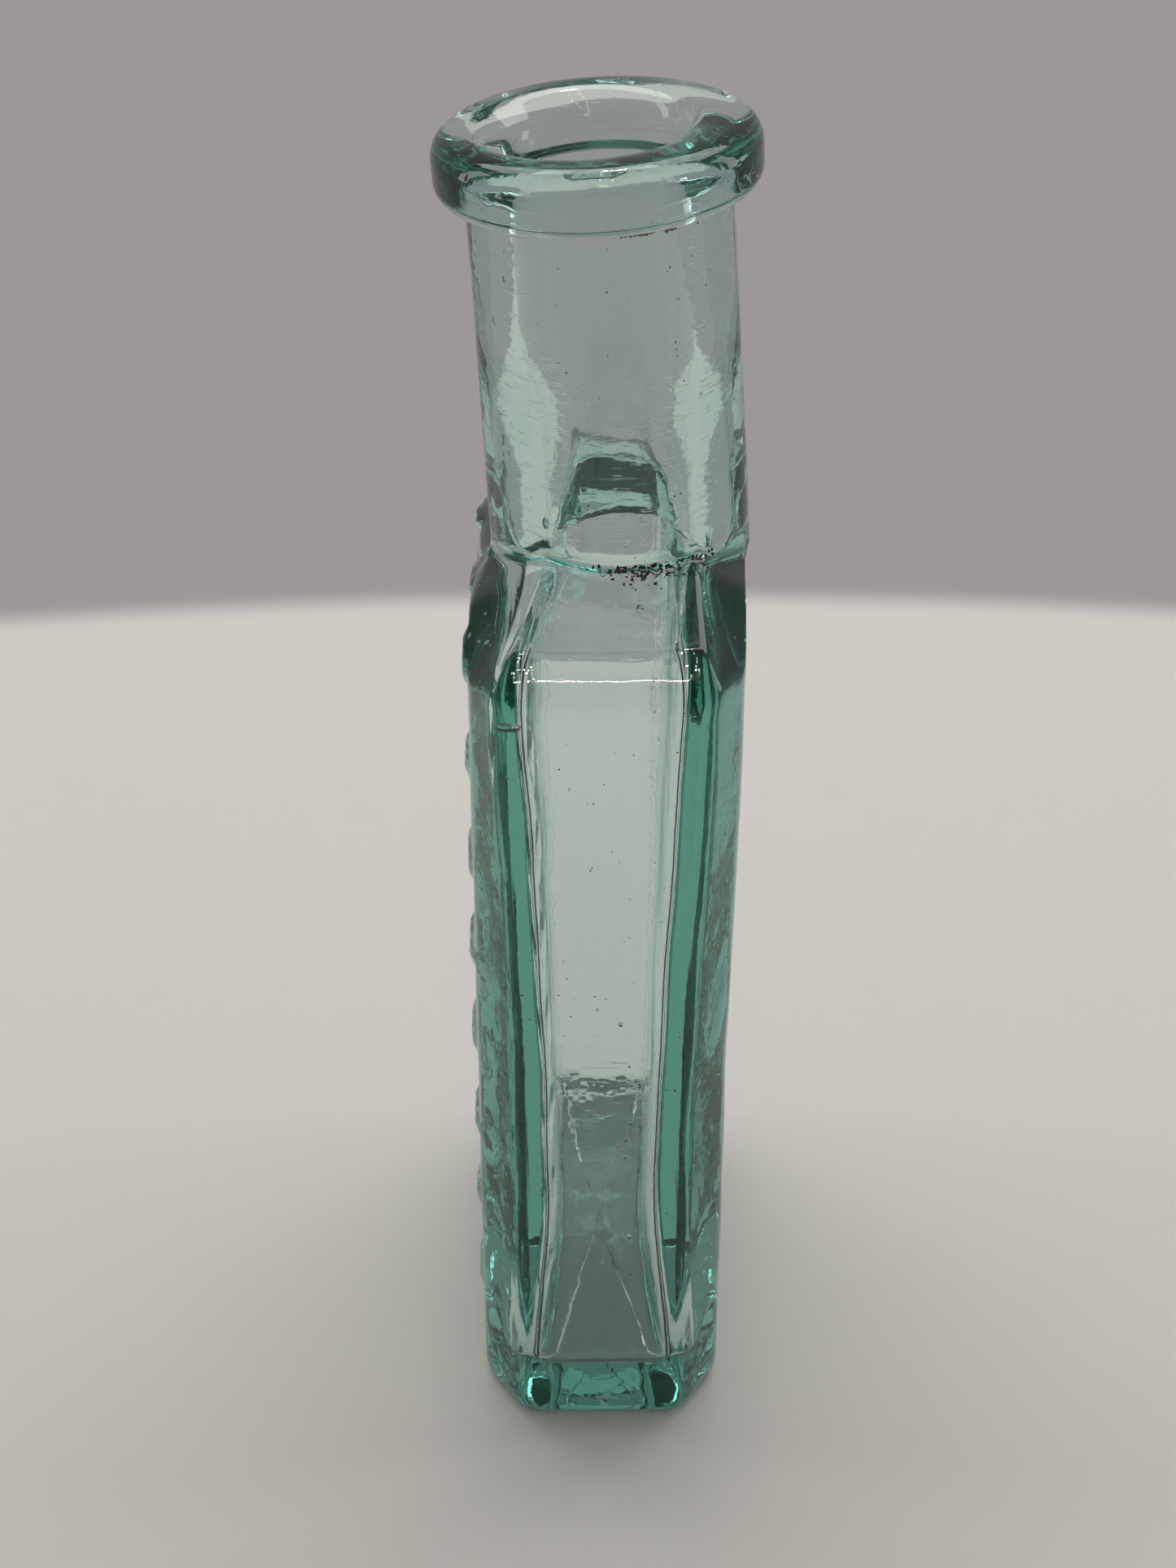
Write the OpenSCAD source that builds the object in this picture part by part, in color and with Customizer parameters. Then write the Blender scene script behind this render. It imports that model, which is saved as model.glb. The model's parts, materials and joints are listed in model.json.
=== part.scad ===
// Small antique medicine bottle, mould-blown in pale aqua glass.
// A flat panelled body with cut corners stands on a thick base. Its shoulder slopes up to
// a wide round neck, which leans to one side, and a thick tooled lip finishes the mouth.
// Z is up, Y runs along the broad faces and X across the depth of the body.
// The origin is the middle of the face that the bottle stands on.

/* [Body] */
// Length of the body along its broad faces
body_width = 44; // [42:0.5:50]
// Depth of the body from one broad face to the other
body_depth = 21.2; // [20.4:0.2:24]
// Height at which the narrow ends start to turn in to the shoulder
spring_height = 73; // [62:1:86]
// How far a cut corner reaches along the broad face
corner_cut_width = 5.2; // [3:0.1:6]
// How far a cut corner reaches along the narrow end
corner_cut_depth = 3.4; // [2:0.1:4]
// Size of the bevel round the foot
heel_bevel = 1; // [0.4:0.1:1.4]

/* [Glass thickness] */
// Thickness of the base
base_glass = 4.2; // [3:0.1:6]
// Thickness of the two narrow end walls
end_wall = 3.4; // [2.6:0.1:4.2]
// Thickness of the two broad walls at the shoulder
face_wall = 3.8; // [2.6:0.1:4]
// How much thicker the broad walls get down at the floor
floor_thickening = 1.9; // [0.6:0.1:2]
// Radius of the upright corners of the hollow
hollow_round = 3.4; // [3:0.1:4]

/* [Shoulder and neck] */
// Radius over which the narrow ends turn in to the shoulder
shoulder_round = 5; // [3:0.5:6]
// Height of the foot of the neck above the spring of the shoulder
shoulder_rise = 7.4; // [7:0.2:10]
// Outside diameter of the neck at its foot
neck_foot_diameter = 21.1; // [19:0.1:21.2]
// Outside diameter of the neck under the lip
neck_top_diameter = 20.6; // [19:0.1:21.2]
// Length of the neck from the shoulder to the lip
neck_length = 27; // [18:1:34]
// Lean of the neck towards the ornamented face, in degrees
neck_lean = 3.5; // [0:0.5:5]
// How far the foot of the neck sits off centre, away from the ornamented face
neck_shift = 1.3; // [0:0.1:1.4]
// Diameter of the straight bore that takes a cork
bore_diameter = 13.5; // [12.5:0.1:14.5]
// Length of that straight bore, below the flare
cork_seat = 14; // [10:0.5:16]
// Diameter of the narrower way through the lower neck
throat_diameter = 11.6; // [10:0.1:12]
// How far the throat runs down through the shoulder's glass
throat_drop = 4.2; // [4:0.1:6]

/* [Lip] */
// Outside diameter of the lip
lip_diameter = 25.2; // [23.6:0.1:27]
// Height of the lip
lip_height = 5.2; // [4.6:0.1:6.4]
// Diameter of the flared mouth at the top of the lip
mouth_diameter = 16.6; // [15:0.1:17.4]
// Depth of the flare
flare_depth = 2.4; // [1.4:0.1:3]
// Radius of the rounded underside of the lip
lip_under_round = 1.6; // [1:0.1:2]
// Radius of the rounded rim of the lip
rim_round = 2; // [1.2:0.1:2.2]

/* [Ornament] */
// Height that the ornament stands proud of the broad face
relief = 0.5; // [0.3:0.05:0.7]
// Number of rows of ornament
ornament_rows = 8; // [4:1:8]
// Distance between rows
row_pitch = 8.9; // [8:0.1:9]
// Height of the lowest row's middle
first_row_height = 11.4; // [10:0.2:13]
// Height of a lozenge
lozenge_height = 5.6; // [4:0.1:6.4]
// Width of a lozenge
lozenge_width = 7; // [5:0.1:7.6]
// Diameter of a round boss
boss_diameter = 4.6; // [3:0.1:5]

/* [Hidden] */
eps = 0.01;
slab = 0.1;
glass = [0.62, 0.80, 0.75, 0.45];
thick_glass = [0.40, 0.68, 0.62, 0.6];
bore_r = bore_diameter / 2;
neck_foot_r = neck_foot_diameter / 2;
neck_top_r = neck_top_diameter / 2;
neck_foot = [neck_shift, 0, spring_height + shoulder_rise];
throat_r = throat_diameter / 2;
// Heights along the neck, from its foot: where the straight bore starts and stops
bore_stop = neck_length + lip_height - flare_depth;
bore_start = bore_stop - cork_seat;
// Length over which the throat opens out to the bore
bore_taper = 5;
// Height over which the hollow's floor rounds up into its walls
floor_round = 2.4;
column_pitch = (body_width - 2 * corner_cut_width - lozenge_width) / 2;

// Plan of the body: a rectangle with its four corners cut off
module body_plan(width, depth, cut_width, cut_depth) {
    x = depth / 2;
    y = width / 2;
    polygon([
        [x, y - cut_width], [x - cut_depth, y], [cut_depth - x, y], [-x, y - cut_width],
        [-x, cut_width - y], [cut_depth - x, -y], [x - cut_depth, -y], [x, cut_width - y]
    ]);
}

// One thin slice of the body's outside, set in from its full plan
module outer_slice(height, inset = 0) {
    translate([0, 0, height]) linear_extrude(slab)
        body_plan(body_width - 2 * inset, body_depth, corner_cut_width, corner_cut_depth);
}

// One thin slice of the hollow: a rectangle with round corners
module hollow_slice(height, face_glass, end_glass) {
    straight_x = body_depth - 2 * face_glass - 2 * hollow_round;
    straight_y = body_width - 2 * end_glass - 2 * hollow_round;
    translate([0, 0, height]) linear_extrude(slab)
        offset(r = hollow_round, $fn = 32) square([straight_x, straight_y], center = true);
}

// Puts its children in the neck's own frame, whose Z runs up the leaning neck
module along_neck() {
    translate(neck_foot) rotate([0, -neck_lean, 0]) children();
}

// The way through the neck: a throat from inside the hollow, a taper and the straight bore
module bore() {
    along_neck() {
        translate([0, 0, -throat_drop - 1])
            cylinder(r = throat_r, h = bore_start + throat_drop + 1, $fn = 96);
        translate([0, 0, bore_start - bore_taper])
            cylinder(r1 = throat_r, r2 = bore_r, h = bore_taper, $fn = 96);
        translate([0, 0, bore_start]) cylinder(r = bore_r, h = cork_seat + 2 * lip_height, $fn = 96);
    }
}

// The space inside the body, narrower towards the floor
module body_hollow() {
    foot_wall = face_wall + floor_thickening;
    hull() {
        hollow_slice(base_glass - 1, foot_wall + floor_round / 2, end_wall + floor_round);
        hollow_slice(base_glass + floor_round, foot_wall, end_wall + 0.4);
        hollow_slice(spring_height + 1, face_wall, end_wall);
    }
}

// The space under the shoulder, closing in to the throat
module shoulder_hollow() {
    hull() {
        hollow_slice(spring_height - 1, face_wall, end_wall);
        along_neck() translate([0, 0, -throat_drop - slab])
            cylinder(r = throat_r + 0.4, h = slab, $fn = 32);
    }
}

// Thick glass slab that the bottle stands on, with a bevelled foot
module base() {
    inset = heel_bevel / 2;
    color(thick_glass) {
        hull() {
            linear_extrude(slab) body_plan(body_width - 2 * inset, body_depth - 2 * inset,
                corner_cut_width, corner_cut_depth);
            outer_slice(heel_bevel - slab);
        }
        translate([0, 0, heel_bevel - slab]) linear_extrude(base_glass - heel_bevel + slab)
            body_plan(body_width, body_depth, corner_cut_width, corner_cut_depth);
    }
}

// Four flat walls and four cut corners round the hollow
module body() {
    color(glass) difference() {
        translate([0, 0, base_glass]) linear_extrude(spring_height - base_glass)
            body_plan(body_width, body_depth, corner_cut_width, corner_cut_depth);
        body_hollow();
    }
}

// Rounded shoulder that gathers the flat body into the foot of the neck
module shoulder() {
    color(glass) difference() {
        hull() {
            for (turn = [0 : 15 : 75])
                outer_slice(spring_height + shoulder_round * sin(turn),
                    shoulder_round * (1 - cos(turn)));
            along_neck() translate([0, 0, -slab]) cylinder(r = neck_foot_r, h = slab, $fn = 64);
        }
        shoulder_hollow();
        bore();
    }
}

// Round neck with a slight taper, set a little off centre and leaning
module neck() {
    color(glass) difference() {
        along_neck() cylinder(r1 = neck_foot_r, r2 = neck_top_r, h = neck_length, $fn = 96);
        bore();
    }
}

// Outline of the lip: a band with a rounded underside, a rounded rim and a flared mouth
module lip_outline() {
    lip_r = lip_diameter / 2;
    difference() {
        union() {
            square([lip_r - lip_under_round, lip_height - rim_round]);
            translate([0, lip_under_round])
                square([lip_r, lip_height - rim_round - lip_under_round]);
            square([lip_r - rim_round, lip_height]);
            translate([lip_r - lip_under_round, lip_under_round]) circle(r = lip_under_round, $fn = 48);
            translate([lip_r - rim_round, lip_height - rim_round]) circle(r = rim_round, $fn = 48);
        }
        translate([-eps, -eps]) square([bore_r + eps, lip_height + 2 * eps]);
        polygon([
            [0, lip_height - flare_depth], [bore_r, lip_height - flare_depth],
            [mouth_diameter / 2, lip_height + eps], [0, lip_height + eps]
        ]);
    }
}

// Second gather of glass, tooled round the top of the neck
module lip() {
    color(thick_glass) along_neck() translate([0, 0, neck_length])
        rotate_extrude($fn = 96) lip_outline();
}

// A raised lozenge with its middle at the origin of the broad face
module lozenge() {
    linear_extrude(relief) polygon([
        [lozenge_height / 2, 0], [0, lozenge_width / 2], [-lozenge_height / 2, 0], [0, -lozenge_width / 2]
    ]);
}

// Lozenges and round bosses by turns on the broad face that the neck leans towards
module face_ornament() {
    color(thick_glass)
        for (row = [0 : ornament_rows - 1], column = [-1, 0, 1])
            translate([-body_depth / 2, column * column_pitch, first_row_height + row * row_pitch])
                rotate([0, -90, 0])
                    if ((row + column + 1) % 2 == 0) lozenge();
                    else cylinder(d = boss_diameter, h = relief, $fn = 48);
}

base();
body();
shoulder();
neck();
lip();
face_ornament();
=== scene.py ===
# Antique aqua medicine bottle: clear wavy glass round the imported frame, with old soil and rust specks.
import json
import math
import random

import bpy
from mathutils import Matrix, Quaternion, Vector, noise


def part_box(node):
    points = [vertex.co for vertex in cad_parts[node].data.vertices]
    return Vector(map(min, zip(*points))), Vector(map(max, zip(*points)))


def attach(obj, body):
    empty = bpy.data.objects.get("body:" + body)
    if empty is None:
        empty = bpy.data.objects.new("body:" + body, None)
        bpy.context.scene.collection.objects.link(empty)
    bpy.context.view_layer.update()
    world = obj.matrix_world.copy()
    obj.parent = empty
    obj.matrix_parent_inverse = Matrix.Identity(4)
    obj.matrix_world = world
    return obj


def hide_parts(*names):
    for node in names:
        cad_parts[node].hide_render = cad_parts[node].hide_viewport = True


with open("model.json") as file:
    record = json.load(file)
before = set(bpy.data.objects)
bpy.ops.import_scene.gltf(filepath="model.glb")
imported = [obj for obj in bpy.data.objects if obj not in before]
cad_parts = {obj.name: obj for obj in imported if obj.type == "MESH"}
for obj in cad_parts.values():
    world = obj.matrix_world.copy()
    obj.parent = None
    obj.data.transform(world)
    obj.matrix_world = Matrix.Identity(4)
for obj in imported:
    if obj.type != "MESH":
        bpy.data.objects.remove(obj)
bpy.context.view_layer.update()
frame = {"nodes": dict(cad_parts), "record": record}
print("frame loaded:", ", ".join(sorted(frame["nodes"])))

mm = 0.001
noise.seed_set(8)   # the waves in the glass come out the same each time

# measures taken from the frame

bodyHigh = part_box("body")[1]
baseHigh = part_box("base")[1]
neckLow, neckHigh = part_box("neck")
lipLow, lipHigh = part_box("lip")
ornamentLow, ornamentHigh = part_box("face_ornament")
mouthMount = next(m for m in frame["record"]["mounts"] if m["name"] == "mouth")
boreRadius = mouthMount["dims"]["r_mm"] * mm
seatLength = mouthMount["dims"]["length_mm"] * mm
boreTop = Vector(mouthMount["pos_m"])
neckUp = Vector(mouthMount["axis"]).normalized()
neckSide = Vector((neckUp.z, 0, -neckUp.x))   # across the neck, square to its lean
halfDepth = bodyHigh.x
halfWidth = bodyHigh.y
springHeight = bodyHigh.z
floorHeight = baseHigh.z
lipRadius = (lipHigh.y - lipLow.y) / 2
neckFootRadius = (neckHigh.y - neckLow.y) / 2
print("bottle is", round(lipHigh.z / mm, 1), "mm tall,",
      "its bore", round(2 * boreRadius / mm, 1), "mm across")

# what a maker would change, all in mm
glassShape = {
    "endCutTop": 2.5,          # reach of a cut corner along the narrow end, at the shoulder
    "endCutFoot": 3.4,         # the same at the foot
    "faceCut": 5.2,            # reach of a cut corner along the broad face
    "edgeSoftness": 1.1,       # soft upright edges left by the mould
    "shoulderRound": 5.0,      # turn of the narrow end into the shoulder
    "neckLength": 27.0,
    "neckTopRadius": 10.3,
    "lipHeight": 5.2,
    "flareDepth": 2.4,
    "lipUnderRound": 1.6,
    "rimRound": 2.0,
    "mouthRadius": 8.3,
    "mouthShift": 0.9,         # the flare sits off centre
    "reliefHeight": 0.5,       # raised ornament
    "lozengeHalfHeight": 2.8,
    "lozengeHalfWidth": 3.5,
    "bossRadius": 2.3,
    "rowInset": 2.5,           # middle of the lowest row above the foot of the ornament
    "rowEnds": 5.1,            # what the two end rows take beyond their middles
    "faceWallTop": 3.8,        # broad wall at the shoulder
    "faceWallFoot": 5.7,       # broad wall low down, before the flare
    "endWall": 3.4,            # narrow wall
    "floorRound": 1.5,         # turn of the floor into the walls
    "hollowCorner": 1.0,       # size of the round corners of the hollow
    "hollowSoftness": 0.9,
    "farFlare": 0.6,           # the hollow widens towards its floor
    "nearFlare": 1.7,          # and more so at the -Y end
    "floorTilt": 3.0,          # the floor is thicker at the +Y end
    "roofRise": 2.4,           # outer edge of the hollow's roof above the spring
    "throatRadius": 6.1,       # the bore narrows below the cork's seat
    "throatTaper": 10.0,
    "throatDrop": 2.6,         # how far the throat runs down into the shoulder
    "sideSwell": 0.45,         # the plain broad face bulges under the shoulder
    "waveSize": 9.0,           # width of a slow ripple in the outside
    "waveAmount": 0.08,
    "hollowWaveSize": 10.0,    # the same on the inside, which never touched the mould
    "hollowWaveAmount": 0.22,
}
ornamentRows = 8
shape = {name: value * mm for name, value in glassShape.items()}

lipTop = boreTop + neckUp * shape["flareDepth"]
neckFoot = lipTop - neckUp * (shape["lipHeight"] + shape["neckLength"])

# outlines that go round the bottle

# a ring has eight corners; these many points lie between each corner and the next,
# starting on the plain broad face, with most on the ornamented one
sidePoints = [14, 4, 12, 4, 80, 4, 12, 4]
cornerPoints = 5
neckCorners = [-20, 20, 54.8, 125.2, 160, 200, 234.8, 305.2]   # degrees round the neck
cornerSpread = 2.5


def mix(a, b, share):
    return a + (b - a) * share


def clamp(value, low=0.0, high=1.0):
    return max(low, min(high, value))


def smooth(share):
    share = clamp(share)
    return share * share * (3 - 2 * share)


def panelRing(halfX, halfY, cutX, cutY, softness):   # a rectangle with cut, softened corners
    corners = [
        (halfX, cutY - halfY), (halfX, halfY - cutY), (halfX - cutX, halfY), (cutX - halfX, halfY),
        (-halfX, halfY - cutY), (-halfX, cutY - halfY), (cutX - halfX, -halfY), (halfX - cutX, -halfY),
    ]
    corners = [Vector((x, y, 0)) for x, y in corners]
    points = []
    for k, corner in enumerate(corners):
        before, after = corners[k - 1], corners[(k + 1) % 8]
        start = corner + (before - corner).normalized() * softness
        stop = corner + (after - corner).normalized() * softness
        for step in range(cornerPoints):
            t = step / (cornerPoints - 1)
            points.append(start.lerp(corner, t).lerp(corner.lerp(stop, t), t))
        nextStart = after + (corner - after).normalized() * softness
        for step in range(sidePoints[k]):
            points.append(stop.lerp(nextStart, (step + 1) / (sidePoints[k] + 1)))
    return points


def roundAngles():   # the same points spread round a circle, as angles
    angles = []
    for k, corner in enumerate(neckCorners):
        after = neckCorners[(k + 1) % 8] + (360 if k == 7 else 0)
        for step in range(cornerPoints):
            angles.append(corner + cornerSpread * (2 * step / (cornerPoints - 1) - 1))
        for step in range(sidePoints[k]):
            share = (step + 1) / (sidePoints[k] + 1)
            angles.append(mix(corner + cornerSpread, after - cornerSpread, share))
    return [math.radians(a) for a in angles]


angles = roundAngles()


def neckPoint(angle, radius, height, shift=0.0):   # height is measured up the leaning neck
    across = neckSide * (radius * math.cos(angle) - shift)
    return neckFoot + neckUp * height + across + Vector((0, radius * math.sin(angle), 0))


def neckRing(radius, height, shift=0.0):
    return [neckPoint(a, radius, height, shift) for a in angles]


def outerPlan(height, inset=0.0):
    cutX = mix(shape["endCutFoot"], shape["endCutTop"], smooth((height / springHeight - 0.55) / 0.45))
    ring = panelRing(halfDepth - inset, halfWidth - inset, cutX, shape["faceCut"], shape["edgeSoftness"])
    swell = shape["sideSwell"] * smooth((height / springHeight - 0.45) / 0.5)
    return [Vector((p.x + swell * clamp(p.x / halfDepth), p.y, height)) for p in ring]


def hollowPlan(height, inset=0.0):   # the broad walls thicken downwards, then flare at the floor
    share = clamp((height - floorHeight) / (springHeight - floorHeight))
    halfX = halfDepth - mix(shape["faceWallFoot"], shape["faceWallTop"], share ** 2) - inset
    halfY = halfWidth - shape["endWall"] - inset
    ring = panelRing(halfX, halfY, shape["hollowCorner"], shape["hollowCorner"], shape["hollowSoftness"])
    points = []
    for p in ring:
        spread = shape["farFlare"] * (1 - smooth(share * 1.6)) * smooth((p.y + 17 * mm) / (15 * mm))
        spread += shape["nearFlare"] * (1 - smooth(share * 3)) * smooth((-9 * mm - p.y) / (9 * mm))
        points.append(Vector((p.x * (1 + spread / halfX), p.y, height)))
    return points


def shoulderHeight(x, y):   # height of the glass over a point of the plan
    turn = shape["shoulderRound"]
    turnAngle = math.radians(72)   # here the turn gives way to the slope up to the neck
    turnCentre = halfWidth - turn
    turnEnd = turnCentre + turn * math.cos(turnAngle)
    turnTop = springHeight + turn * math.sin(turnAngle)
    far = smooth((y + 4 * mm) / (8 * mm))   # the far half falls away more to its sides
    y = abs(y)
    if y > turnEnd:
        top = springHeight + math.sqrt(max(0.0, turn ** 2 - (y - turnCentre) ** 2))
    else:
        slope = (neckFoot.z - turnTop) / (turnEnd - neckFootRadius)
        top = turnTop + (turnEnd - max(y, neckFootRadius)) * slope
    outward = clamp((y - neckFootRadius) / (halfWidth - neckFootRadius))
    crown = mix(6.0 * mm, halfDepth - shape["endCutTop"], outward)
    fall = mix(mix(0.6, 1.5, outward), mix(1.1, 1.7, outward), far)
    return max(springHeight, top - fall * max(0.0, abs(x - neckFoot.x * (1 - outward)) - crown))


def resample(path, count):   # count points at even steps along a path
    lengths = [0.0]
    for a, b in zip(path, path[1:]):
        lengths.append(lengths[-1] + (b - a).length)
    points, k = [], 0
    for step in range(count):
        goal = lengths[-1] * step / (count - 1)
        while k < len(path) - 2 and lengths[k + 1] < goal:
            k += 1
        span = lengths[k + 1] - lengths[k]
        points.append(path[k].lerp(path[k + 1], clamp((goal - lengths[k]) / span) if span else 0.0))
    return points


def soften(path, rounds):   # melts the kinks of a path, ends held
    for _ in range(rounds):
        inner = [(a + 2 * b + c) / 4 for a, b, c in zip(path, path[1:], path[2:])]
        path = [path[0]] + inner + [path[-1]]
    return path


def shoulderPath(start, angle):   # from the spring of the shoulder up to the lip, one column of points
    foot = neckPoint(angle, neckFootRadius, 0)
    foot.z = shoulderHeight(foot.x, foot.y)
    steep = [Vector((start.x, start.y, mix(springHeight, shoulderHeight(start.x, start.y), k / 8)))
             for k in range(9)]
    for step in range(1, 61):
        plan = start.lerp(foot, (step / 60) ** 2)
        steep.append(Vector((plan.x, plan.y, shoulderHeight(plan.x, plan.y))))
    path = []
    broad = smooth((abs(math.cos(angle)) - 0.62) / 0.3)
    flow = broad * smooth(start.y / halfWidth + 0.6)   # the broad faces rise in one gentle sweep
    for k, point in enumerate(resample(steep, 69)):
        t = k / 68
        gentle = Vector((mix(start.x, foot.x, smooth(t)), mix(start.y, foot.y, t),
                         mix(springHeight, foot.z, t)))
        path.append(point.lerp(gentle, flow))
    rise = (foot - neckFoot).dot(neckUp)
    for step in range(1, 31):
        height = mix(rise, shape["neckLength"], step / 30)
        radius = mix(neckFootRadius, shape["neckTopRadius"], smooth(height / shape["neckLength"]))
        path.append(neckPoint(angle, radius, height))
    return resample(soften(resample(path, 110), 2), 58)


def reliefAt(y, z):   # lozenges and bosses by turns, standing where the frame's ornament stands
    y += 0.5 * mm * noise.noise(Vector((y, z, 0)) / (3.5 * mm))
    z += 0.6 * mm * noise.noise(Vector((y, z, 9 * mm)) / (3.5 * mm))
    rowPitch = (ornamentHigh.z - ornamentLow.z - shape["rowEnds"]) / (ornamentRows - 1)
    columnPitch = ornamentHigh.y - shape["lozengeHalfWidth"]
    row = round((z - ornamentLow.z - shape["rowInset"]) / rowPitch)
    column = round(y / columnPitch)
    if not (0 <= row < ornamentRows and abs(column) <= 1):
        return 0.0
    awayZ = abs(z - ornamentLow.z - shape["rowInset"] - row * rowPitch)
    awayY = abs(y - column * columnPitch)
    if (row + column + 1) % 2 == 0:
        reach = awayZ / shape["lozengeHalfHeight"] + awayY / shape["lozengeHalfWidth"]
    else:
        reach = math.hypot(awayY, awayZ) / shape["bossRadius"]
    worn = 0.9 + 0.3 * noise.noise(Vector((3.7 * row, 5.3 * column, 0.5)))
    return shape["reliefHeight"] * worn * (1 - smooth((reach - 0.6) / 0.5))


def ripple(point, size, amount, seed):
    return noise.noise_vector(point / size + Vector((seed, seed, seed))) * amount


# the glass

outerRings = []
underside = outerPlan(0, 2.2 * mm)
for reach, lift in ((0.12, 0.3), (0.45, 0.28), (0.75, 0.2), (0.93, 0.08)):   # shallow dish under the base
    outerRings.append([Vector((p.x * reach, p.y * reach, lift * mm)) for p in underside])
for height, inset in ((0.02, 2.2), (0, 1.4), (0.06, 0.85), (0.3, 0.45), (0.75, 0.17), (1.4, 0.03)):
    outerRings.append(outerPlan(height * mm, inset * mm))
bodyRows = 118
for row in range(bodyRows):
    outerRings.append(outerPlan(mix(2.2 * mm, springHeight, row / bodyRows)))
springRing = outerPlan(springHeight)
columns = [shoulderPath(start, angle) for start, angle in zip(springRing, angles)]
outerRings += [list(ring) for ring in zip(*columns)]

for ring in outerRings[:4]:   # the dish is a little lumpy
    for point in ring:
        point.z += 0.12 * mm * (1 + noise.noise(point / (3 * mm)))
for ring in outerRings[4:]:
    for k, point in enumerate(ring):
        grip = clamp((point.z - 0.5 * mm) / (4 * mm))   # the foot stays flat
        moved = point + ripple(point, shape["waveSize"], shape["waveAmount"] * grip, 3.1)
        if point.x < -halfDepth + 0.3 * mm and point.z < 78 * mm:
            moved.x -= reliefAt(point.y, point.z)
        ring[k] = moved

lipRings = []
under, rim = shape["lipUnderRound"], shape["rimRound"]
lipFootHeight = shape["neckLength"]
lipTopHeight = lipFootHeight + shape["lipHeight"]
for step in range(7):
    turn = math.radians(-90 + 15 * step)
    lipRings.append(neckRing(lipRadius - under + under * math.cos(turn),
                             lipFootHeight + under + under * math.sin(turn)))
for step in range(9):
    turn = math.radians(11.25 * step)
    lipRings.append(neckRing(lipRadius - rim + rim * math.cos(turn),
                             lipTopHeight - rim + rim * math.sin(turn)))
mouth, shift = shape["mouthRadius"], shape["mouthShift"]
for radius, drop, off in ((mouth + 1.3 * mm, 0.0, 0.5), (mouth + 0.6 * mm, 0.1, 0.8), (mouth, 0.45, 1.0),
                          (mix(mouth, boreRadius, 0.45), 1.2, 0.7), (mix(mouth, boreRadius, 0.8), 1.9, 0.3),
                          (boreRadius, 2.8, 0.0)):
    lipRings.append(neckRing(radius, lipTopHeight - drop * mm, shift * off))

hollowRings = []
seatFoot = lipTopHeight - shape["flareDepth"] - seatLength
boreRows = 36
for row in range(1, boreRows + 1):
    height = mix(lipTopHeight - 2.8 * mm, -shape["throatDrop"], row / boreRows)
    opened = smooth((height - seatFoot + shape["throatTaper"]) / shape["throatTaper"])
    hollowRings.append(neckRing(mix(shape["throatRadius"], boreRadius, opened), height))
throatEnd = hollowRings[-1]
wallTopHeight = springHeight - 0.5 * mm
wallTop = hollowPlan(wallTopHeight)
knees = [Vector((0.9 * p.x, 0.9 * p.y, springHeight + shape["roofRise"])) for p in wallTop]
for row in range(1, 15):   # the roof falls gently from the throat to its knees
    hollowRings.append([start.lerp(knee, row / 14) for start, knee in zip(throatEnd, knees)])
for row in range(1, 9):
    t = row / 8
    ring = []
    for knee, stop in zip(knees, wallTop):
        middle = Vector((stop.x, stop.y, knee.z - 0.4 * mm))
        ring.append(knee.lerp(middle, t).lerp(middle.lerp(stop, t), t))
    hollowRings.append(ring)
turn = shape["floorRound"]
wallRows = 32
for row in range(1, wallRows + 1):
    hollowRings.append(hollowPlan(mix(wallTopHeight, floorHeight + turn, row / wallRows)))
for step in range(1, 7):
    a = math.radians(15 * step)
    hollowRings.append(hollowPlan(floorHeight + turn * (1 - math.sin(a)), turn * (1 - math.cos(a))))
floorRing = hollowRings[-1]
for reach, lift in ((0.8, 0.05), (0.5, 0.15), (0.15, 0.2)):
    hollowRings.append([Vector((p.x * reach, p.y * reach, p.z + lift * mm)) for p in floorRing])
for ring in hollowRings:
    for k, point in enumerate(ring):
        low = 1 - smooth((point.z - floorHeight) / (14 * mm))
        point.z += shape["floorTilt"] * low * smooth((point.y + 4 * mm) / (20 * mm))
        # the lip tool held the bore true
        loose = clamp((neckFoot.z + 12 * mm - point.z) / (20 * mm), 0.15)
        ring[k] = point + ripple(point, shape["hollowWaveSize"], shape["hollowWaveAmount"] * loose, 7.7)


def wrapGrid(name, rings):   # a flat grid laid round on rings, its seam welded and its ends closed
    across = len(rings[0])
    bpy.ops.object.select_all(action="DESELECT")
    bpy.ops.mesh.primitive_grid_add(x_subdivisions=across, y_subdivisions=len(rings) - 1, size=1)
    piece = bpy.context.object
    piece.name = name
    piece.data.name = name
    for k, vertex in enumerate(piece.data.vertices):
        row, column = divmod(k, across + 1)
        vertex.co = rings[row][column % across]
    bpy.ops.object.mode_set(mode="EDIT")
    bpy.ops.mesh.select_mode(type="VERT")
    bpy.ops.mesh.select_all(action="SELECT")
    bpy.ops.mesh.remove_doubles(threshold=0.000001)
    bpy.ops.mesh.select_all(action="SELECT")
    bpy.ops.mesh.fill_holes(sides=0)
    bpy.ops.mesh.select_all(action="SELECT")
    bpy.ops.mesh.normals_make_consistent(inside=False)
    bpy.ops.object.mode_set(mode="OBJECT")
    bpy.ops.object.shade_smooth()
    return piece


bottleGlass = wrapGrid("bottleGlass", outerRings + lipRings + hollowRings)


def snap(point):   # nearest place on the glass, and the way out of it
    return bottleGlass.closest_point_on_mesh(point)[1:3]


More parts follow.
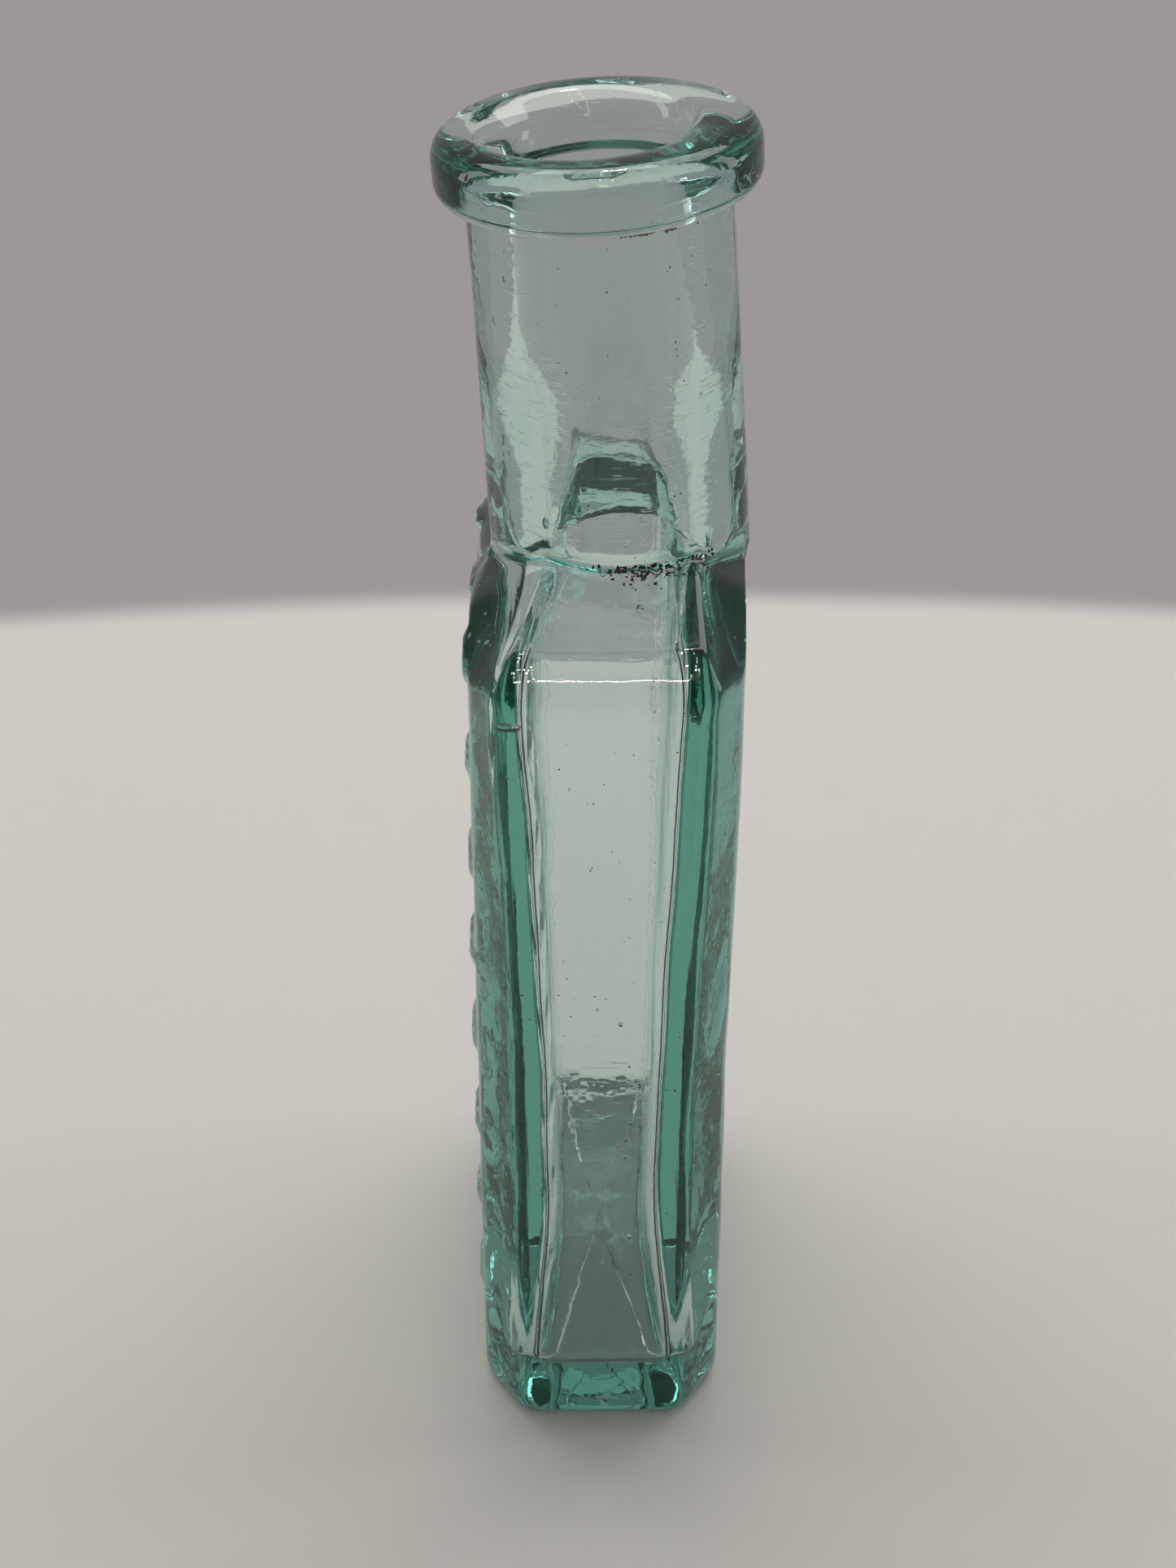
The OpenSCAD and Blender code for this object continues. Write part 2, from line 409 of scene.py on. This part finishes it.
def scatterBits(name, bits, detail):   # one lump for each middle and its three half-axes
    bpy.ops.object.select_all(action="DESELECT")
    bpy.ops.mesh.primitive_ico_sphere_add(subdivisions=detail, radius=1)
    piece = bpy.context.object
    piece.name = name
    piece.data.name = name
    bpy.ops.object.mode_set(mode="EDIT")
    for _ in bits[1:]:
        bpy.ops.mesh.primitive_ico_sphere_add(subdivisions=detail, radius=1)
    bpy.ops.object.mode_set(mode="OBJECT")
    share = len(piece.data.vertices) // len(bits)
    for k, vertex in enumerate(piece.data.vertices):
        middle, along, across, through = bits[k // share]
        x, y, z = vertex.co
        vertex.co = middle + along * x + across * y + through * z
    bpy.ops.object.shade_smooth()
    return piece


def flake(point, size, thickness):   # a flat crumb lying on the glass, half sunk in
    place, outward = snap(point)
    along = outward.orthogonal().normalized()
    along.rotate(Quaternion(outward, chance.uniform(0, math.pi)))
    across = outward.cross(along)
    return place, along * size, across * size * chance.uniform(0.4, 1), outward * thickness


seedLook = {
    "count": 110,
    "smallest": 0.07,          # mm
    "largest": 0.3,
    "deepest": 2.2,
    "stretch": 2.2,            # drawn out up the bottle as it was blown
}
chance = random.Random(11)
seeds = []
for _ in range(seedLook["count"]):
    ring = chance.choice(outerRings[20:])
    place, outward = snap(chance.choice(ring))
    size = mix(seedLook["smallest"], seedLook["largest"], chance.random() ** 3) * mm
    middle = place - outward * chance.uniform(0.8, seedLook["deepest"]) * mm
    long = size * chance.uniform(1, seedLook["stretch"])
    seeds.append((middle, Vector((size, 0, 0)), Vector((0, size, 0)), Vector((0, 0, long))))
# one flat bubble by the shoulder
place, outward = snap(Vector((-7.4 * mm, -halfWidth, springHeight - 0.6 * mm)))
seeds.append((place - outward * 0.7 * mm, Vector((1.1, 0, 0)) * mm, Vector((0, 0.3, 0)) * mm,
              Vector((0, 0, 0.4)) * mm))
glassSeeds = scatterBits("glassSeeds", seeds, 2)
bpy.ops.object.mode_set(mode="EDIT")
bpy.ops.mesh.select_all(action="SELECT")
bpy.ops.mesh.flip_normals()   # hollow bubbles: the glass lies outside them
bpy.ops.object.mode_set(mode="OBJECT")
bpy.ops.object.select_all(action="DESELECT")
glassSeeds.select_set(True)
bottleGlass.select_set(True)
bpy.context.view_layer.objects.active = bottleGlass
bpy.ops.object.join()
print("seeds blown in:", len(seeds))
print("glass has", len(bottleGlass.data.polygons), "faces")

# materials


def colour(hexText):   # an sRGB hex value as linear red, green, blue, alpha
    parts = [int(hexText[k:k + 2], 16) / 255 for k in (1, 3, 5)]
    return [c / 12.92 if c <= 0.04045 else ((c + 0.055) / 1.055) ** 2.4 for c in parts] + [1.0]


def addNode(tree, kind, settings=None, inputs=None):   # inputs hold plain values or the sockets to link
    node = tree.nodes.new(kind)
    for name, value in (settings or {}).items():
        setattr(node, name, value)
    for name, value in (inputs or {}).items():
        if isinstance(value, bpy.types.NodeSocket):
            tree.links.new(value, node.inputs[name])
        else:
            node.inputs[name].default_value = value
    return node


def newMaterial(name):
    material = bpy.data.materials.new(name)
    material.use_nodes = True
    material.node_tree.nodes.clear()
    return material, material.node_tree


# soda-lime glass tinted aqua by iron, blown in a mould and fire-polished: clear, smooth and faintly
# orange-peeled, pale where it is thin and deep teal where the eye looks along a wall
aquaGlass, tree = newMaterial("aquaSodaLimeGlass")
place = addNode(tree, "ShaderNodeTexCoord").outputs["Object"]
peel = addNode(tree, "ShaderNodeTexNoise", inputs={"Vector": place, "Scale": 1 / (2.2 * mm), "Detail": 2.0})
skin = addNode(tree, "ShaderNodeBump", inputs={
    "Height": peel.outputs["Fac"], "Strength": 0.10, "Distance": 0.3 * mm})
stretched = addNode(tree, "ShaderNodeVectorMath", {"operation": "MULTIPLY"}, {
    0: place, 1: (0.12, 0.12, 1.0)})   # fine scratches lie level
streaks = addNode(tree, "ShaderNodeTexNoise", inputs={
    "Vector": stretched.outputs["Vector"], "Scale": 1 / (0.25 * mm), "Detail": 1.0})
scratches = addNode(tree, "ShaderNodeMapRange", inputs={
    "Value": streaks.outputs["Fac"], "From Min": 0.66, "From Max": 0.72})
skin = addNode(tree, "ShaderNodeBump", inputs={
    "Height": scratches.outputs["Result"], "Strength": 0.25, "Distance": 0.02 * mm,
    "Normal": skin.outputs["Normal"]})
clear = addNode(tree, "ShaderNodeBsdfPrincipled", inputs={
    "Base Color": (1, 1, 1, 1), "Roughness": 0.0, "IOR": 1.52, "Transmission Weight": 1.0,
    "Normal": skin.outputs["Normal"]})
tint = addNode(tree, "ShaderNodeVolumeAbsorption", inputs={"Color": (0.0, 0.59, 0.50, 1), "Density": 43.0})
addNode(tree, "ShaderNodeOutputMaterial", inputs={
    "Surface": clear.outputs["BSDF"], "Volume": tint.outputs["Volume"]})
bottleGlass.data.materials.clear()
bottleGlass.data.materials.append(aquaGlass)

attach(bottleGlass, "root")
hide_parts("base", "body", "shoulder", "neck", "lip", "face_ornament")

# old soil and rust

soilLook = {
    "creaseCrumbs": 200,
    "rustCrumbs": 80,
    "strayCrumbs": 110,
    "crumbSize": 0.21,         # mm, the largest
    "crumbThickness": 0.06,
}
soilSize = soilLook["crumbSize"] * mm
soilThick = soilLook["crumbThickness"] * mm


def neckFront(x, rise, radius):   # a point near the front of the neck, x across it
    return neckFoot + Vector((x, -math.sqrt(radius ** 2 - x ** 2), 0)) + neckUp * rise


crumbs = []
for _ in range(soilLook["creaseCrumbs"]):   # packed into the crease at the foot of the neck
    x = (chance.gauss(2.0, 1.5) if chance.random() < 0.7 else chance.gauss(6.0, 0.8)) * mm
    drop = abs(chance.gauss(0, 0.9)) * mm
    point = neckFront(x, 0.1 * mm - drop * 0.3, neckFootRadius) + Vector((0, -drop, 0))
    crumbs.append(flake(point, soilSize * chance.uniform(0.3, 1), soilThick))
for _ in range(soilLook["strayCrumbs"]):   # single specks over the front
    point = Vector((chance.uniform(-7, 7), -halfWidth / mm, chance.uniform(12, 72))) * mm
    if chance.random() < 0.4:
        point = neckFront(chance.uniform(-7, 8) * mm, chance.uniform(2, 25) * mm, neckFootRadius)
    crumbs.append(flake(point, soilSize * chance.uniform(0.2, 0.5), soilThick))
crumbs.append(flake(neckFront(-9.6 * mm, 30.5 * mm, lipRadius), 0.3 * mm, soilThick))
oldSoil = scatterBits("oldSoil", crumbs, 1)

rustBits = []
for _ in range(soilLook["rustCrumbs"]):   # a broken line of rust right under the lip
    x = chance.gauss(2.4, 1.9) * mm
    point = neckFront(x, shape["neckLength"] - chance.uniform(0, 0.25) * mm, shape["neckTopRadius"])
    rustBits.append(flake(point, soilSize * chance.uniform(0.4, 1.1), soilThick * 0.7))
rustStain = scatterBits("rustStain", rustBits, 1)


def crumbMaterial(name, grainSize, darkHex, paleHex, roughness):
    material, tree = newMaterial(name)
    place = addNode(tree, "ShaderNodeTexCoord").outputs["Object"]
    grain = addNode(tree, "ShaderNodeTexNoise", inputs={
        "Vector": place, "Scale": 1 / grainSize, "Detail": 3.0})
    tone = addNode(tree, "ShaderNodeMix", {"data_type": "RGBA"}, {
        "Factor": grain.outputs["Fac"], 6: colour(darkHex), 7: colour(paleHex)})
    dull = addNode(tree, "ShaderNodeBsdfPrincipled", inputs={
        "Base Color": tone.outputs[2], "Roughness": roughness})
    addNode(tree, "ShaderNodeOutputMaterial", inputs={"Surface": dull.outputs["BSDF"]})
    return material


# dry soil left from the bottle's burial, matt and nearly black
drySoil = crumbMaterial("drySoil", 0.4 * mm, "#33261d", "#5f4a3a", 0.95)
# iron rust that dried onto the glass, matt and paler
ironRust = crumbMaterial("ironRust", 0.5 * mm, "#7d6456", "#9c8676", 0.9)

for piece, material in ((oldSoil, drySoil), (rustStain, ironRust)):
    piece.data.materials.clear()
    piece.data.materials.append(material)
    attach(piece, "root")
print("soil and rust laid on:", len(crumbs) + len(rustBits), "crumbs")

# stage, light and camera

stageLook = {
    "tableHex": "#e0dfd8",
    "wallHex": "#9c9798",
    "tableRadius": 600.0,      # mm
    "tableBack": 137.0,        # mm behind the bottle's middle
    "edgeBlur": 9.0,           # mm
    "frontGlow": 0.3,          # light from the dark half of the room, behind the camera
    "ledHeight": 577.0,        # mm
    "ledStrength": 60.0,
}

bpy.ops.object.select_all(action="DESELECT")
bpy.ops.mesh.primitive_plane_add(size=6, location=(0, 0, -0.05 * mm))
table = bpy.context.object
table.name = "stageTable"
paper, tree = newMaterial("matteTablePaper")
place = addNode(tree, "ShaderNodeTexCoord").outputs["Object"]
away = addNode(tree, "ShaderNodeVectorMath", {"operation": "DISTANCE"}, {
    0: place, 1: (0.01, (stageLook["tableBack"] - stageLook["tableRadius"]) * mm, 0)})
edge = addNode(tree, "ShaderNodeMapRange", {"interpolation_type": "SMOOTHSTEP"}, {
    "Value": away.outputs["Value"],
    "From Min": (stageLook["tableRadius"] - stageLook["edgeBlur"] / 2) * mm,
    "From Max": (stageLook["tableRadius"] + stageLook["edgeBlur"] / 2) * mm})
tone = addNode(tree, "ShaderNodeMix", {"data_type": "RGBA"}, {
    "Factor": edge.outputs["Result"], 6: colour(stageLook["tableHex"]), 7: (0, 0, 0, 1)})
matte = addNode(tree, "ShaderNodeBsdfPrincipled", inputs={
    "Base Color": tone.outputs[2], "Roughness": 0.8, "Specular IOR Level": 0.0,
    "Emission Color": colour(stageLook["wallHex"]), "Emission Strength": edge.outputs["Result"]})
addNode(tree, "ShaderNodeOutputMaterial", inputs={"Surface": matte.outputs["BSDF"]})
table.data.materials.append(paper)

world = bpy.data.worlds.new("softRoom")   # the wall's grey behind the bottle, a dark room behind the camera
bpy.context.scene.world = world
world.use_nodes = True
tree = world.node_tree
way = addNode(tree, "ShaderNodeSeparateXYZ", inputs={
    "Vector": addNode(tree, "ShaderNodeTexCoord").outputs["Generated"]})
glow = addNode(tree, "ShaderNodeMapRange", {"interpolation_type": "SMOOTHSTEP"}, {
    "Value": way.outputs["Y"], "From Min": -0.9, "From Max": 0.3,
    "To Min": stageLook["frontGlow"], "To Max": 1.0})
tree.nodes["Background"].inputs["Color"].default_value = colour(stageLook["wallHex"])
tree.links.new(glow.outputs["Result"], tree.nodes["Background"].inputs["Strength"])


def softLight(name, place, aim, width, height, power):
    data = bpy.data.lights.new(name, "AREA")
    data.shape = "RECTANGLE"
    data.size = width
    data.size_y = height
    data.energy = power
    lamp = bpy.data.objects.new(name, data)
    bpy.context.scene.collection.objects.link(lamp)
    lamp.location = place
    lamp.rotation_euler = (Vector(aim) - Vector(place)).to_track_quat("-Z", "Y").to_euler()
    return lamp


softLight("topPanel", (0, 0.28, 0.64), (0, 0, 0), 0.9, 0.3, 2.45)
softLight("leftPanel", (-0.5, 0.1, 0.25), (0, 0, 0.06), 0.1, 0.4, 0.3)
softLight("rightPanel", (0.5, 0.1, 0.25), (0, 0, 0.06), 0.1, 0.4, 0.3)

# strings of small lamps overhead, which show as dotted lines in the turn of the shoulder
ledBits = []


def ledString(start, stop, count, across, along):
    for k in range(count):
        x = mix(start[0], stop[0], k / (count - 1)) + chance.gauss(0, 0.25)
        y = mix(start[1], stop[1], k / (count - 1)) + chance.gauss(0, 0.1) * along
        middle = Vector((x, y, stageLook["ledHeight"])) * mm
        ledBits.append((middle, Vector((across, 0, 0)) * mm, Vector((0, along, 0)) * mm,
                        Vector((0, 0, 0.5)) * mm))


lampStrings = [   # start, stop and how many lamps, then the half-axes of each, in mm
    ((-14, 172), (24, 172), 26, 0.9, 12),
    ((-15, 182), (-11, 236), 9, 1.8, 2),
    ((25, 182), (16, 236), 9, 1.8, 2),
    ((-20, -500), (34, -500), 19, 0.7, 24),
    ((-24, -440), (-18, 120), 9, 0.9, 20),
    ((37, -440), (27, 120), 9, 0.9, 20),
]
for lamps in lampStrings:
    ledString(*lamps)
stageLeds = scatterBits("stageLeds", ledBits, 1)
lit, tree = newMaterial("warmLedLight")
shine = addNode(tree, "ShaderNodeEmission", inputs={
    "Color": colour("#fff8ec"), "Strength": stageLook["ledStrength"]})
addNode(tree, "ShaderNodeOutputMaterial", inputs={"Surface": shine.outputs["Emission"]})
stageLeds.data.materials.clear()
stageLeds.data.materials.append(lit)

cameraView = {
    "away": 189.0,             # mm in front of the bottle's middle
    "side": -1.2,
    "height": 172.0,
    "down": 32.0,              # degrees
    "lens": 58.848,            # mm
    "sensorHeight": 36.0,
}
cameraData = bpy.data.cameras.new("camera")
cameraData.sensor_fit = "VERTICAL"
cameraData.sensor_height = cameraView["sensorHeight"]
cameraData.lens = cameraView["lens"]
cameraData.clip_start = 0.01
camera = bpy.data.objects.new("camera", cameraData)
bpy.context.scene.collection.objects.link(camera)
camera.location = (cameraView["side"] * mm, -cameraView["away"] * mm, cameraView["height"] * mm)
camera.rotation_euler = (math.radians(90 - cameraView["down"]), 0, 0)
bpy.context.scene.camera = camera

scene = bpy.context.scene
scene.view_settings.view_transform = "Standard"
scene.cycles.max_bounces = 32
scene.cycles.transmission_bounces = 32
scene.cycles.glossy_bounces = 32
scene.cycles.sample_clamp_indirect = 1   # keeps the lamps from sparkling through the glass
print("stage ready")
